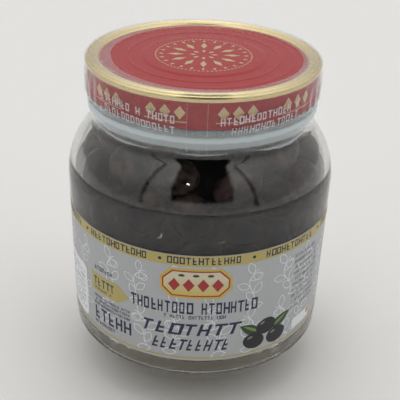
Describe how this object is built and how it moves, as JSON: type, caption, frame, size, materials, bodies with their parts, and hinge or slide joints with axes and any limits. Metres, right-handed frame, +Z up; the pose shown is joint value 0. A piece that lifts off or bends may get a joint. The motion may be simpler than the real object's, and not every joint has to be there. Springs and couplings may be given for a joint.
{
  "type": "jar of olives",
  "caption": "Shut clear glass jar packed with black olives in brine, with a wrap label, a red and gold tin lid and a clear shrink band.",
  "frame": {"origin": "centre of the foot ring, on the surface the jar stands on", "axes": "+Z up along the jar's axis, -Y towards the front of the label, +X to the right of the front"},
  "size_m": [0.1342, 0.1342, 0.166],
  "materials": {
    "glass": "clear pressed soda-lime glass, smooth and glossy",
    "lid_tinplate": "red and gold lacquered tinplate, satin gloss",
    "shrink_film": "clear glossy heat-shrunk film with light wrinkles",
    "label_paper": "silver metallised paper, printed, semi-gloss",
    "olive_skin": "wet wrinkled black olive skin, purple brown where light falls on it"
  },
  "bodies": {
    "root": {"jar_glass": "glass", "lid": "lid_tinplate", "shrink_band": "shrink_film", "label": "label_paper", "olives": "olive_skin"}
  },
  "joints": []
}
